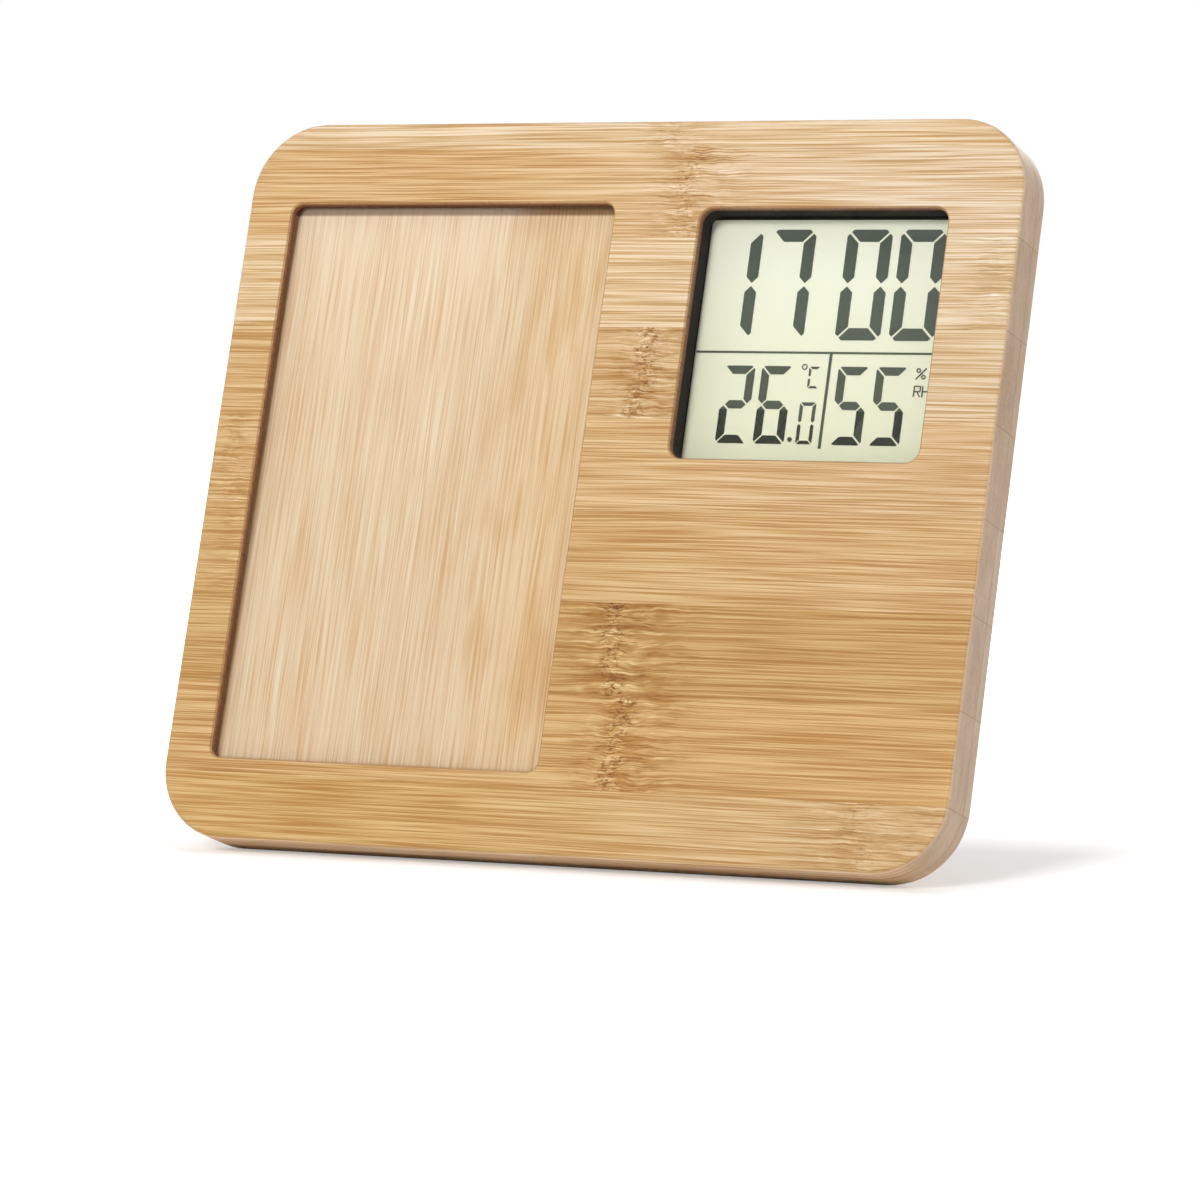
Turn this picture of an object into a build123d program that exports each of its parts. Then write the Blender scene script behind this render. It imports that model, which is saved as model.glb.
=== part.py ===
from build123d import *
import math
import os

# Photo frame clock, in millimetres. Pieces are drawn with the board upright: x to the right seen from the
# front, y from the front face backwards, z up from the board's bottom edge. stand() then leans it back.

# Bamboo board; its width and height follow from the windows and the bars around them
front_layer = 8.0
rear_layer = 4.0
board_corner = 16.0
board_edge_round = 1.0
lean_degrees = 17.65

# Photo window, from the board's left, bottom and top edges
photo_window_from_left = 10.7
photo_window_from_bottom = 17.4
photo_window_from_top = 18.1
photo_window_width = 77.4
photo_window_height = 122.5
photo_window_corner = 2.4

# Display window, from the board's right and top edges; its width and height follow from the digits it shows
display_window_from_right = 15.95
display_window_from_top = 19.25
display_window_corner = 3.0

# Front lip that both windows leave
lip = 2.0
window_ease = 0.35
window_ease_taper = -45

# Photo pocket, pane and backing board
pocket_margin = 3.0
pocket_corner = 3.0
pocket_fit = 0.2
pane_thickness = 1.2
print_gap = 0.3
backing_edge_ease = 0.4
rear_opening_margin = 0.5
scoop_radius = 9.0
scoop_depth = 2.5

# Turn buttons on the top and bottom bars
turn_from_side = 14.7
turn_inset = 4.6
turn_reach = 7.4
turn_width = 6.4
turn_thickness = 1.0
turn_float = 0.15
turn_fit = 0.06
turn_grip_radius = 1.2
turn_grip_height = 0.6
turn_recess_clearance = 0.7
turn_recess_corner = 4.0

# Pan-head wood screws
wood_screw_radius = 1.3
wood_screw_head_radius = 2.5
wood_screw_head_height = 1.3
wood_screw_depth = 4.6
screw_fit = 0.05
cross_width = 0.5
cross_depth = 0.7
cross_share = 0.6

# Clock module
module_side_margin = 4.05
module_top_margin = 7.7
module_bottom_margin = 26.75
module_wall = 1.2
module_fit = 0.3
module_corner = 3.0
display_depth = 5.9
tunnel_wall = 1.3
cover_thickness = 1.2
post_radius = 1.5
ear_width = 9.0
ear_length = 6.6
ear_thickness = 1.6
ear_inset = 10.0
ear_corner = 3.5
ear_clearance = 0.5
boss_radius = 2.2
boss_sink = 0.5
boss_screw_radius = 0.8
boss_screw_depth = 5.0
boss_head_radius = 1.8
boss_head_height = 1.1

# Display stack
glass_side_overlap = 2.3
glass_end_overlap = 1.8
front_glass_thickness = 1.1
segment_thickness = 0.15
rear_glass_thickness = 0.85
elastomer_thickness = 1.3
elastomer_width = 2.0
elastomer_inset = 1.5

# Circuit board and what it carries
board_gap = 0.4
circuit_thickness = 1.0
boss_notch = 0.5
chip_radius = 5.0
chip_height = 1.0
chip_round = 0.8
crystal_radius = 1.0
crystal_length = 6.0
crystal_from_left = 14.0
crystal_above_wall = 3.0
sensor_width = 4.0
sensor_height = 5.0
sensor_thickness = 1.6
sensor_from_left = 8.4
sounder_radius = 10.0
sounder_thickness = 0.3
sounder_hole_radius = 0.75
sounder_hole_ring = 3.0
sounder_hole_count = 6
vent_width = 12.0
vent_height = 1.2
vent_pitch = 2.6
vent_count = 5
vent_from_top = 13.0

# Raised housing on the rear cover, for the battery and the buttons
pod_half_width = 25.4
pod_height = 26.2
pod_depth = 3.4
pod_face = 1.8
pod_wall = 1.2
pod_corner = 3.0
pod_edge_round = 0.8

# Battery, AAA size, and its contacts
battery_radius = 5.25
battery_length = 44.5
battery_nub_radius = 1.9
battery_nub_length = 1.2
battery_edge_round = 0.5
battery_cradle = 0.3
cradle_width = 2.0
cradle_inset = 6.0
bay_height = 12.6
contact_thickness = 0.4
contact_width = 9.0
contact_front_gap = 1.0
spring_space = 2.65
spring_strip = 0.3
spring_width = 6.0
spring_half = 1.5
tail_width = 3.0
tail_length = 6.0
tail_notch = 0.4

# Battery door
door_plate = 0.9
door_fit = 0.12
door_slack = 0.25
door_web = 1.0
door_tab = 0.7
door_tab_length = 5.0
door_tab_inset = 7.0
door_tab_reach = 0.7
door_tab_fit = 0.1
door_end_wall = 1.6
door_rib_count = 4
door_rib_pitch = 1.6
door_rib_width = 0.7
door_rib_height = 0.4
door_rib_length = 7.0
door_rib_inset = 6.0
door_travel = 8.0

# Push buttons and their switches
button_count = 4
button_pitch = 12.0
button_radius = 2.75
button_proud = 0.8
button_fit = 0.1
button_flange_radius = 3.4
button_flange = 0.6
button_round = 0.4
button_travel = 0.5
button_row_from_top = 6.2
switch_size = 6.0
switch_clearance = 0.6
plunger_radius = 1.7
plunger_fit = 0.1
plunger_seat = 0.4
plunger_room = 0.15

# Stand leg and its hinge
hinge_height = 95.0
leaf_thickness = 0.9
leaf_width = 11.0
leaf_length = 19.0
leaf_corner = 1.5
leaf_side_room = 0.6
knuckle_radius = 1.9
knuckle_side_gap = 0.1
knuckle_clearance = 0.3
pin_radius = 0.9
pin_fit = 0.02
pin_running_fit = 0.05
pin_head_radius = 1.4
pin_head_height = 0.5
leaf_screw_radius = 0.9
leaf_screw_head_radius = 1.9
leaf_screw_depth = 4.0
leaf_screw_first = 6.5
leaf_screw_second = 14.0
leg_thickness = 6.0
leg_top_width = 12.0
leg_foot_width = 26.0
leg_heel = 9.0
leg_edge_round = 0.8
leg_spare_length = 12.0
leg_open_degrees = 35.0
groove_radius = 2.35
heel_clearance = 0.1
pad_thickness = 1.0
pad_inset = 1.0

# Display layout, from the display window's lower left corner
big_digit_width = 10.1
big_digit_height = 23.8
big_digit_stroke = 2.6
big_digit_gap = 0.5
big_digit_cut = 1.4
big_digit_pitch = 12.05
big_digits_left = 1.65
big_digits_right_room = 2.85
big_digits_top_room = 2.55
colon_space = 7.1
small_digit_width = 6.95
small_digit_height = 16.65
small_digit_stroke = 1.75
small_digit_gap = 0.4
small_digit_cut = 0.7
small_digit_pitch = 8.55
small_digits_base = 5.3
temperature_left = 6.95
humidity_left = 32.72
tiny_digit_width = 3.6
tiny_digit_height = 8.9
tiny_digit_stroke = 0.7
tiny_digit_gap = 0.3
tiny_digit_cut = 0.3
tiny_digit_left = 25.1
tiny_digit_base = 5.35
point_radius = 0.5
point_left = 23.75
point_base = 6.3
rule_width = 0.42
rule_above_digits = 2.95
rule_below_digits = 2.75
divider_left = 30.62
divider_width = 0.6
divider_base = 4.45
degree_radius = 0.62
degree_line = 0.2
degree_left = 25.05
degree_base = 21.85
celsius_width = 2.5
celsius_height = 4.6
celsius_stroke = 0.45
celsius_gap = 0.3
celsius_left = 26.15
celsius_base = 17.3
unit_left = 50.05
unit_line = 0.24
unit_letter_width = 1.35
unit_letter_height = 2.25
unit_letter_pitch = 1.85
percent_base = 19.45
percent_width = 2.2
percent_height = 2.4
percent_ring = 0.5
humidity_letters_base = 15.75

# One overrun for cuts
over = 1.0

# Places that follow from the sizes above; the bar between the windows is as wide as the hinge on it needs
minutes_left = big_digits_left + big_digit_pitch + big_digit_width + colon_space
display_window_width = minutes_left + big_digit_pitch + big_digit_width + big_digits_right_room
rule_height = small_digits_base + small_digit_height + rule_above_digits
big_digits_base = rule_height + rule_below_digits
display_window_height = big_digits_base + big_digit_height + big_digits_top_room
board_depth = front_layer + rear_layer
hinge_strip = leaf_width + 2 * leaf_side_room
window_gap = pocket_margin + rear_opening_margin + hinge_strip + module_fit + module_side_margin
borders = photo_window_from_left + display_window_from_right
board_width = borders + photo_window_width + window_gap + display_window_width
board_height = photo_window_from_bottom + photo_window_height + photo_window_from_top
photo_left = -board_width / 2 + photo_window_from_left
photo_right = photo_left + photo_window_width
photo_bottom = photo_window_from_bottom
photo_top = photo_bottom + photo_window_height
display_right = board_width / 2 - display_window_from_right
display_left = display_right - display_window_width
display_top = board_height - display_window_from_top
display_bottom = display_top - display_window_height
pocket_left = photo_left - pocket_margin
pocket_right = photo_right + pocket_margin
pocket_bottom = photo_bottom - pocket_margin
pocket_top = photo_top + pocket_margin
pane_back = lip + pane_thickness
backing_front = pane_back + print_gap
module_left = display_left - module_side_margin
module_right = display_right + module_side_margin
module_bottom = display_bottom - module_bottom_margin
module_top = display_top + module_top_margin
module_middle = (module_left + module_right) / 2
cover_front = board_depth - cover_thickness
shell_floor = lip + module_wall
segments_front = display_depth + front_glass_thickness
segments_back = segments_front + segment_thickness
glass_back = segments_back + rear_glass_thickness
circuit_front = glass_back + elastomer_thickness
circuit_back = circuit_front + circuit_thickness
bay_bottom = module_bottom + module_wall
bay_top = bay_bottom + bay_height
bay_wall_top = bay_top + module_wall
battery_height = bay_bottom + bay_height / 2
battery_depth = shell_floor + battery_cradle + battery_radius
battery_left = module_middle - battery_length / 2
battery_right = battery_left + battery_length
tail_back = circuit_back + contact_thickness
pod_left = module_middle - pod_half_width
pod_right = module_middle + pod_half_width
pod_top = module_bottom + pod_height
pod_back = board_depth + pod_depth
pod_face_front = pod_back - pod_face
button_height = pod_top - button_row_from_top
button_places = [module_middle + button_pitch * (i - (button_count - 1) / 2) for i in range(button_count)]
door_left = pod_left + door_end_wall
door_half = battery_radius + door_slack + door_web
door_bottom = battery_height - door_half
door_top = battery_height + door_half
door_web_front = pod_face_front - door_tab - door_tab_fit
strip_left = pocket_right + rear_opening_margin
strip_right = module_left - module_fit
leg_middle = (strip_left + strip_right) / 2
hinge_depth = board_depth + knuckle_radius + knuckle_clearance
leaf_back = board_depth + leaf_thickness
leaf_face = leaf_back - hinge_depth
boss_inset = module_wall + boss_radius - boss_sink
boss_places = [
    (x, z)
    for x in (module_left + boss_inset, module_right - boss_inset)
    for z in (bay_wall_top + 2 * boss_radius, module_top - boss_inset)
]
ear_places = [
    (x, z, way)
    for x in (module_left + ear_inset, module_right - ear_inset)
    for z, way in ((module_bottom, -1), (module_top, 1))
]
pocket_middle = (pocket_left + pocket_right) / 2
turn_spread = photo_window_width / 2 - turn_from_side
turn_places = {
    "turn_button_top_left": (pocket_middle - turn_spread, pocket_top + turn_inset, -1),
    "turn_button_top_right": (pocket_middle + turn_spread, pocket_top + turn_inset, -1),
    "turn_button_bottom_left": (pocket_middle - turn_spread, pocket_bottom - turn_inset, 1),
    "turn_button_bottom_right": (pocket_middle + turn_spread, pocket_bottom - turn_inset, 1),
}


def slab(shape, front, back):
    """A flat shape drawn in x and z, made thick from one depth to another."""
    plane = Plane(origin=(0, back, 0), x_dir=(1, 0, 0), z_dir=(0, -1, 0))
    return extrude(plane * shape, amount=back - front, dir=(0, -1, 0))


def panel(left, right, bottom, top, corner=0):
    """A rectangle in x and z, with rounded corners if a radius is given."""
    place = Pos((left + right) / 2, (bottom + top) / 2)
    if corner:
        return place * RectangleRounded(right - left, top - bottom, corner)
    return place * Rectangle(right - left, top - bottom)


def disc(x, z, radius):
    return Pos(x, z) * Circle(radius)


def block(left, right, front, back, bottom, top):
    centre = ((left + right) / 2, (front + back) / 2, (bottom + top) / 2)
    return Pos(*centre) * Box(right - left, back - front, top - bottom)


def rod(left, right, depth, height, radius):
    """A round bar along x."""
    return Pos((left + right) / 2, depth, height) * Rot(0, 90, 0) * Cylinder(radius, right - left)


def cone(x, z, front, back, front_radius, back_radius):
    """A round taper along y, from its radius at the front to its radius at the back."""
    middle = Pos(x, (front + back) / 2, z)
    return middle * Rot(90, 0, 0) * Cone(back_radius, front_radius, back - front)


def window(left, right, bottom, top, corner):
    """The cutter of one window: straight through the lip, with an eased front edge."""
    outline = panel(left, right, bottom, top, corner)
    straight = slab(outline, -over, lip + over)
    plane = Plane(origin=(0, window_ease, 0), x_dir=(1, 0, 0), z_dir=(0, -1, 0))
    return straight + extrude(plane * outline, amount=window_ease + over, taper=window_ease_taper)


def pan_screw(x, z, tip, seat, radius, head_radius, head_height):
    """A pan-head cross-recess screw along y, its head behind the seat."""
    head = slab(disc(x, z, head_radius), seat, seat + head_height)
    head = fillet(head.edges().group_by(Axis.Y)[-1], head_height / 2)
    body = slab(disc(x, z, radius), tip, seat) + head
    top = seat + head_height
    arm = head_radius * cross_share
    half = cross_width / 2
    body -= block(x - arm, x + arm, top - cross_depth, top + over, z - half, z + half)
    return body - block(x - half, x + half, top - cross_depth, top + over, z - arm, z + arm)


def flat_screw(x, z, tip, base, face):
    """A countersunk screw along y: shank from its tip to the leaf, head through the leaf."""
    head = cone(x, z, base, face, leaf_screw_radius, leaf_screw_head_radius)
    body = slab(disc(x, z, leaf_screw_radius), tip, base) + head
    arm = leaf_screw_head_radius * cross_share
    half = cross_width / 2
    bottom = face - cross_depth / 2
    body -= block(x - arm, x + arm, bottom, face + over, z - half, z + half)
    return body - block(x - half, x + half, bottom, face + over, z - arm, z + arm)


def module_outline(grow=0):
    """The module's outline, grown by a clearance."""
    return panel(module_left - grow, module_right + grow, module_bottom - grow, module_top + grow,
                 module_corner + grow)


def display_outline():
    return panel(display_left, display_right, display_bottom, display_top, display_window_corner)


def board_blank():
    """The whole board, both layers, with its rounded outline and softened edges."""
    outline = panel(-board_width / 2, board_width / 2, 0, board_height, board_corner)
    blank = slab(outline, 0, board_depth)
    ends = blank.edges().group_by(Axis.Y)
    return fillet(ends[0] + ends[-1], board_edge_round)


def turn_recess(x, z, way):
    """The recess that a turn button swings in, open to the backing's opening."""
    half = turn_reach + turn_width / 2 + turn_recess_clearance
    far = z - way * (turn_width / 2 + turn_recess_clearance)
    near = z + way * (turn_inset + rear_opening_margin + turn_recess_corner)
    return panel(x - half, x + half, min(far, near), max(far, near), turn_recess_corner)


def ear_recess(x, z, way):
    half = ear_width / 2 + ear_clearance
    far = z + way * (ear_length + ear_clearance)
    near = z - way * ear_corner
    return panel(x - half, x + half, min(far, near), max(far, near), ear_corner)


def make_front_panel():
    body = board_blank() & block(-board_width, board_width, -over, front_layer, -over, board_height + over)
    body -= window(photo_left, photo_right, photo_bottom, photo_top, photo_window_corner)
    body -= window(display_left, display_right, display_bottom, display_top, display_window_corner)
    pocket = panel(pocket_left, pocket_right, pocket_bottom, pocket_top, pocket_corner)
    body -= slab(pocket, lip, front_layer + over)
    body -= slab(module_outline(module_fit), lip, front_layer + over)
    pilot = wood_screw_radius + screw_fit
    places = [(x, z) for x, z, way in turn_places.values()]
    places += [(x, z + way * ear_length / 2) for x, z, way in ear_places]
    for x, z in places:
        body -= slab(disc(x, z, pilot), front_layer - wood_screw_depth, front_layer + over)
    pilot = leaf_screw_radius + screw_fit
    for step in (leaf_screw_first, leaf_screw_second):
        body -= slab(disc(leg_middle, hinge_height + step, pilot), front_layer - leaf_screw_depth / 2,
                     front_layer + over)
    return body


def make_rear_panel():
    body = board_blank() & block(-board_width, board_width, front_layer, board_depth + over, -over,
                                 board_height + over)
    grow = rear_opening_margin
    opening = panel(pocket_left - grow, pocket_right + grow, pocket_bottom - grow, pocket_top + grow,
                    pocket_corner + grow)
    for x, z, way in turn_places.values():
        opening += turn_recess(x, z, way)
    opening += module_outline(module_fit)
    for x, z, way in ear_places:
        opening += ear_recess(x, z, way)
    for step in (leaf_screw_first, leaf_screw_second):
        opening += disc(leg_middle, hinge_height + step, leaf_screw_radius + screw_fit)
    return body - slab(opening, front_layer - over, board_depth + over)


def make_photo_pane():
    fit = pocket_fit
    sides = (pocket_left + fit, pocket_right - fit, pocket_bottom + fit, pocket_top - fit)
    outline = panel(*sides, pocket_corner)
    return slab(outline, lip, pane_back)


def make_backing_board():
    fit = pocket_fit
    sides = (pocket_left + fit, pocket_right - fit, pocket_bottom + fit, pocket_top - fit)
    outline = panel(*sides, pocket_corner)
    body = slab(outline, backing_front, front_layer)
    body = chamfer(body.edges().group_by(Axis.Y)[-1], backing_edge_ease)
    scoop = disc((pocket_left + pocket_right) / 2, pocket_bottom, scoop_radius)
    return body - slab(scoop, front_layer - scoop_depth, front_layer + over)


def make_turn_button(x, z, way):
    """A flat metal tab on its screw, its blade over the backing board's edge."""
    front = front_layer + turn_float
    back = front + turn_thickness
    blade = Pos(x, z + way * turn_reach / 2) * Rot(0, 0, 90) * SlotCenterToCenter(turn_reach, turn_width)
    body = slab(blade, front, back)
    body += slab(disc(x, z + way * turn_reach, turn_grip_radius), back, back + turn_grip_height)
    return body - slab(disc(x, z, wood_screw_radius + turn_fit), front - over, back + over)


def make_turn_button_screws():
    seat = front_layer + turn_float + turn_thickness + turn_float
    return [
        pan_screw(x, z, front_layer - wood_screw_depth, seat, wood_screw_radius, wood_screw_head_radius,
                  wood_screw_head_height)
        for x, z, way in turn_places.values()
    ]


def make_display_shell():
    """The module's black front moulding: face, display tunnel, walls, battery bay, bosses and ears."""
    body = slab(module_outline(), lip, cover_front)
    inner = panel(module_left + module_wall, module_right - module_wall, module_bottom + module_wall,
                  module_top - module_wall, module_corner - module_wall)
    body -= slab(inner, shell_floor, cover_front + over)
    tunnel = panel(display_left - tunnel_wall, display_right + tunnel_wall, display_bottom - tunnel_wall,
                   display_top + tunnel_wall, display_window_corner + tunnel_wall)
    body += slab(tunnel, shell_floor, display_depth)
    body += block(module_left + module_wall, module_right - module_wall, shell_floor, cover_front, bay_top,
                  bay_wall_top)
    wall_back = circuit_back
    positive = battery_left - contact_thickness
    negative = battery_right + spring_space
    body += block(positive - module_wall, positive, shell_floor, wall_back, bay_bottom, bay_top)
    body += block(negative, negative + module_wall, shell_floor, wall_back, bay_bottom, bay_top)
    for left in (battery_left + cradle_inset, battery_right - cradle_inset - cradle_width):
        body += block(left, left + cradle_width, shell_floor, shell_floor + battery_cradle / 2, bay_bottom,
                      bay_top)
    for x, z in boss_places:
        body += slab(disc(x, z, boss_radius), shell_floor, cover_front)
    for x, z, way in ear_places:
        tip = z + way * ear_length
        root = z - way * module_wall
        ear = panel(x - ear_width / 2, x + ear_width / 2, min(tip, root), max(tip, root))
        corners = slab(ear, front_layer, front_layer + ear_thickness).edges().filter_by(Axis.Y)
        corners = corners.sort_by(Axis.Z)[:2] if way < 0 else corners.sort_by(Axis.Z)[-2:]
        body += fillet(corners, ear_corner - ear_clearance)
    body -= slab(display_outline(), lip - over, display_depth + over)
    for x, z in boss_places:
        body -= slab(disc(x, z, boss_screw_radius + screw_fit), cover_front - boss_screw_depth,
                     cover_front + over)
    for x, z, way in ear_places:
        hole = disc(x, z + way * ear_length / 2, wood_screw_radius + screw_fit)
        body -= slab(hole, front_layer - over, front_layer + ear_thickness + over)
    for left, right in contact_tails():
        body -= block(left - tail_notch, right + tail_notch, circuit_back - tail_notch / 2,
                      cover_front + over, bay_top - over, bay_wall_top + over)
    return body


def contact_tails():
    """Left and right side of each contact's tail, where it crosses the bay wall."""
    return [(battery_left - tail_width, battery_left),
            (battery_right + spring_strip, battery_right + spring_space)]


def glass_outline():
    return panel(display_left - glass_side_overlap, display_right + glass_side_overlap,
                 display_bottom - glass_end_overlap, display_top + glass_end_overlap)


def make_lcd_front_glass():
    return slab(glass_outline(), display_depth, segments_front)


def make_lcd_rear_glass():
    return slab(glass_outline(), segments_back, glass_back)


def segment_shapes(width, height, stroke, gap, cut):
    """The seven mitred segments of one digit, as points from the digit's lower left corner."""
    q = gap / math.sqrt(2)
    half = height / 2
    top = [(cut, height), (width - cut, height), (width - (cut + q) / 2, height - (cut - q) / 2),
           (width - stroke - q, height - stroke), (stroke + q, height - stroke),
           ((cut + q) / 2, height - (cut - q) / 2)]
    upper = [(0, height - cut), ((cut - q) / 2, height - (cut + q) / 2), (stroke, height - stroke - q),
             (stroke, half + stroke / 2 + q), (stroke / 2, half + q), (0, half + stroke / 2 + q)]
    middle = [(stroke / 2 + q, half), (stroke + q, half + stroke / 2),
              (width - stroke - q, half + stroke / 2), (width - stroke / 2 - q, half),
              (width - stroke - q, half - stroke / 2), (stroke + q, half - stroke / 2)]

    def across(points):
        return [(width - x, z) for x, z in points]

    def down(points):
        return [(x, height - z) for x, z in points]

    return {"a": top, "b": across(upper), "c": across(down(upper)), "d": down(top), "e": down(upper),
            "f": upper, "g": middle}


DIGITS = {"0": "abcdef", "1": "bc", "2": "abged", "5": "afgcd", "6": "afgedc", "7": "abc", "C": "afed"}


def digit(mark, left, base, sizes):
    """The lit segments of one digit, as flat shapes."""
    shapes = segment_shapes(*sizes)
    x0 = display_left + left
    z0 = display_bottom + base
    return [Polygon(*[(x0 + x, z0 + z) for x, z in shapes[name]], align=None) for name in DIGITS[mark]]


def bar(start, end, width):
    """A straight stroke between two places of the layout."""
    (x0, z0), (x1, z1) = start, end
    long = math.hypot(x1 - x0, z1 - z0)
    turn = math.degrees(math.atan2(z1 - z0, x1 - x0))
    place = Pos(display_left + (x0 + x1) / 2, display_bottom + (z0 + z1) / 2)
    return place * Rot(0, 0, turn) * Rectangle(long, width)


def ring(x, z, radius, line):
    place = Pos(display_left + x, display_bottom + z)
    return place * (Circle(radius) - Circle(radius - line))


def unit_marks():
    """The generic degree, percent and relative humidity marks."""
    marks = [ring(degree_left, degree_base, degree_radius, degree_line)]
    right = unit_left + percent_width
    top = percent_base + percent_height
    marks.append(bar((unit_left, percent_base), (right, top), unit_line))
    marks.append(ring(unit_left + percent_ring, top - percent_ring, percent_ring, unit_line))
    marks.append(ring(right - percent_ring, percent_base + percent_ring, percent_ring, unit_line))
    base = humidity_letters_base
    top = base + unit_letter_height
    middle = base + unit_letter_height / 2
    right = unit_left + unit_letter_width
    letter = bar((unit_left, base), (unit_left, top), unit_line)
    letter += bar((unit_left, top), (right, top), unit_line)
    letter += bar((right, top), (right, middle), unit_line)
    letter += bar((unit_left, middle), (right, middle), unit_line)
    letter += bar((unit_left + unit_letter_width / 2, middle), (right, base), unit_line)
    marks.append(letter)
    left = unit_left + unit_letter_pitch
    right = left + unit_letter_width
    letter = bar((left, base), (left, top), unit_line)
    letter += bar((right, base), (right, top), unit_line)
    letter += bar((left, middle), (right, middle), unit_line)
    marks.append(letter)
    return marks


def make_lcd_segments():
    big = (big_digit_width, big_digit_height, big_digit_stroke, big_digit_gap, big_digit_cut)
    small = (small_digit_width, small_digit_height, small_digit_stroke, small_digit_gap, small_digit_cut)
    tiny = (tiny_digit_width, tiny_digit_height, tiny_digit_stroke, tiny_digit_gap, tiny_digit_cut)
    celsius = (celsius_width, celsius_height, celsius_stroke, celsius_gap, celsius_stroke / 2)
    marks = []
    marks += digit("1", big_digits_left, big_digits_base, big)
    marks += digit("7", big_digits_left + big_digit_pitch, big_digits_base, big)
    marks += digit("0", minutes_left, big_digits_base, big)
    marks += digit("0", minutes_left + big_digit_pitch, big_digits_base, big)
    marks += digit("2", temperature_left, small_digits_base, small)
    marks += digit("6", temperature_left + small_digit_pitch, small_digits_base, small)
    marks += digit("0", tiny_digit_left, tiny_digit_base, tiny)
    marks += digit("C", celsius_left, celsius_base, celsius)
    marks += digit("5", humidity_left, small_digits_base, small)
    marks += digit("5", humidity_left + small_digit_pitch, small_digits_base, small)
    marks.append(disc(display_left + point_left, display_bottom + point_base, point_radius))
    rule = bar((0, rule_height), (display_window_width, rule_height), rule_width)
    marks.append(rule + bar((divider_left, divider_base), (divider_left, rule_height), divider_width))
    marks += unit_marks()
    return [slab(mark, segments_front, segments_back) for mark in marks]


def make_elastomer_strips():
    left = display_left - glass_side_overlap
    right = display_right + glass_side_overlap
    low = display_bottom - glass_end_overlap
    high = display_top + glass_end_overlap - elastomer_width
    return [block(left + elastomer_inset, right - elastomer_inset, glass_back, circuit_front, z,
                  z + elastomer_width) for z in (low, high)]


def make_circuit_board():
    gap = module_wall + board_gap
    outline = panel(module_left + gap, module_right - gap, bay_wall_top + board_gap, module_top - gap)
    for x, z in boss_places:
        outline -= disc(x, z, boss_radius + boss_notch)
        outline -= panel(*sorted((x, x + math.copysign(2 * boss_radius, x - module_middle))),
                         z - boss_radius - boss_notch, z + boss_radius + boss_notch)
        side = (module_bottom + module_top) / 2
        outline -= panel(*sorted((x - boss_radius, x + boss_radius)),
                         *sorted((z, z + math.copysign(2 * boss_radius, z - side))))
    body = slab(outline, circuit_front, circuit_back)
    return max(body.solids(), key=lambda piece: piece.volume)


def make_controller_chip():
    middle = (display_bottom + display_top) / 2
    dome = slab(disc(module_middle, middle, chip_radius), circuit_front - chip_height, circuit_front)
    return fillet(dome.edges().group_by(Axis.Y)[0], chip_round)


def make_quartz_crystal():
    left = module_left + crystal_from_left
    height = bay_wall_top + crystal_above_wall
    return rod(left, left + crystal_length, circuit_front - crystal_radius, height, crystal_radius)


def make_humidity_sensor():
    left = module_left + sensor_from_left
    bottom = bay_wall_top + board_gap
    return block(left, left + sensor_width, circuit_front - sensor_thickness, circuit_front, bottom,
                 bottom + sensor_height)


def make_sounder():
    middle = (display_bottom + display_top) / 2
    return slab(disc(module_middle, middle, sounder_radius), cover_front - sounder_thickness, cover_front)


def make_tact_switches():
    bodies = []
    back = pod_face_front - button_flange - switch_clearance
    for x in button_places:
        half = switch_size / 2
        body = block(x - half, x + half, circuit_back, back, button_height - half, button_height + half)
        hole = disc(x, button_height, plunger_radius + plunger_fit)
        bodies.append(body - slab(hole, back - plunger_seat - button_travel - plunger_room, back + over))
    return bodies


def make_plunger(x):
    front = pod_face_front - button_flange - switch_clearance - plunger_seat
    return slab(disc(x, button_height, plunger_radius), front, pod_face_front - button_flange)


def make_button(x):
    """A round push button with the flange that keeps it in the cover."""
    stem = slab(disc(x, button_height, button_radius), pod_face_front, pod_back + button_proud)
    stem = fillet(stem.edges().group_by(Axis.Y)[-1], button_round)
    rim = disc(x, button_height, button_flange_radius)
    return stem + slab(rim, pod_face_front - button_flange, pod_face_front)


def make_battery():
    can_left = battery_left + battery_nub_length
    body = rod(can_left, battery_right, battery_depth, battery_height, battery_radius)
    body = fillet(body.edges().group_by(Axis.X)[0] + body.edges().group_by(Axis.X)[-1], battery_edge_round)
    return body + rod(battery_left, can_left, battery_depth, battery_height, battery_nub_radius)


def contact_plate(left, tail):
    """A contact's upright plate with its tail, which lies on the circuit board."""
    low = battery_height - contact_width / 2
    plate = block(left, left + contact_thickness, shell_floor + contact_front_gap, tail_back, low,
                  low + contact_width)
    return plate + block(*tail, circuit_back, tail_back, battery_height, bay_wall_top + tail_length)


def make_positive_contact():
    return contact_plate(battery_left - contact_thickness, contact_tails()[0])


def make_negative_contact():
    """A plate with a bent spring tongue that presses on the battery's flat end."""
    left = battery_right + spring_space - contact_thickness
    body = contact_plate(left, contact_tails()[1])
    low = battery_height - spring_width / 2
    fold = [(left, battery_depth - spring_half), (battery_right + spring_strip, battery_depth),
            (left, battery_depth + spring_half)]
    for (x0, y0), (x1, y1) in zip(fold, fold[1:]):
        points = [(x0, y0), (x1, y1), (x1 + spring_strip, y1), (x0 + spring_strip, y0)]
        strip = Plane.XY.offset(low) * Polygon(*points, align=None)
        body += extrude(strip, amount=spring_width, dir=(0, 0, 1))
    return body


def door_opening(grow=0):
    return panel(door_left - grow, pod_right + over + grow, door_bottom - grow, door_top + grow)


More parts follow.
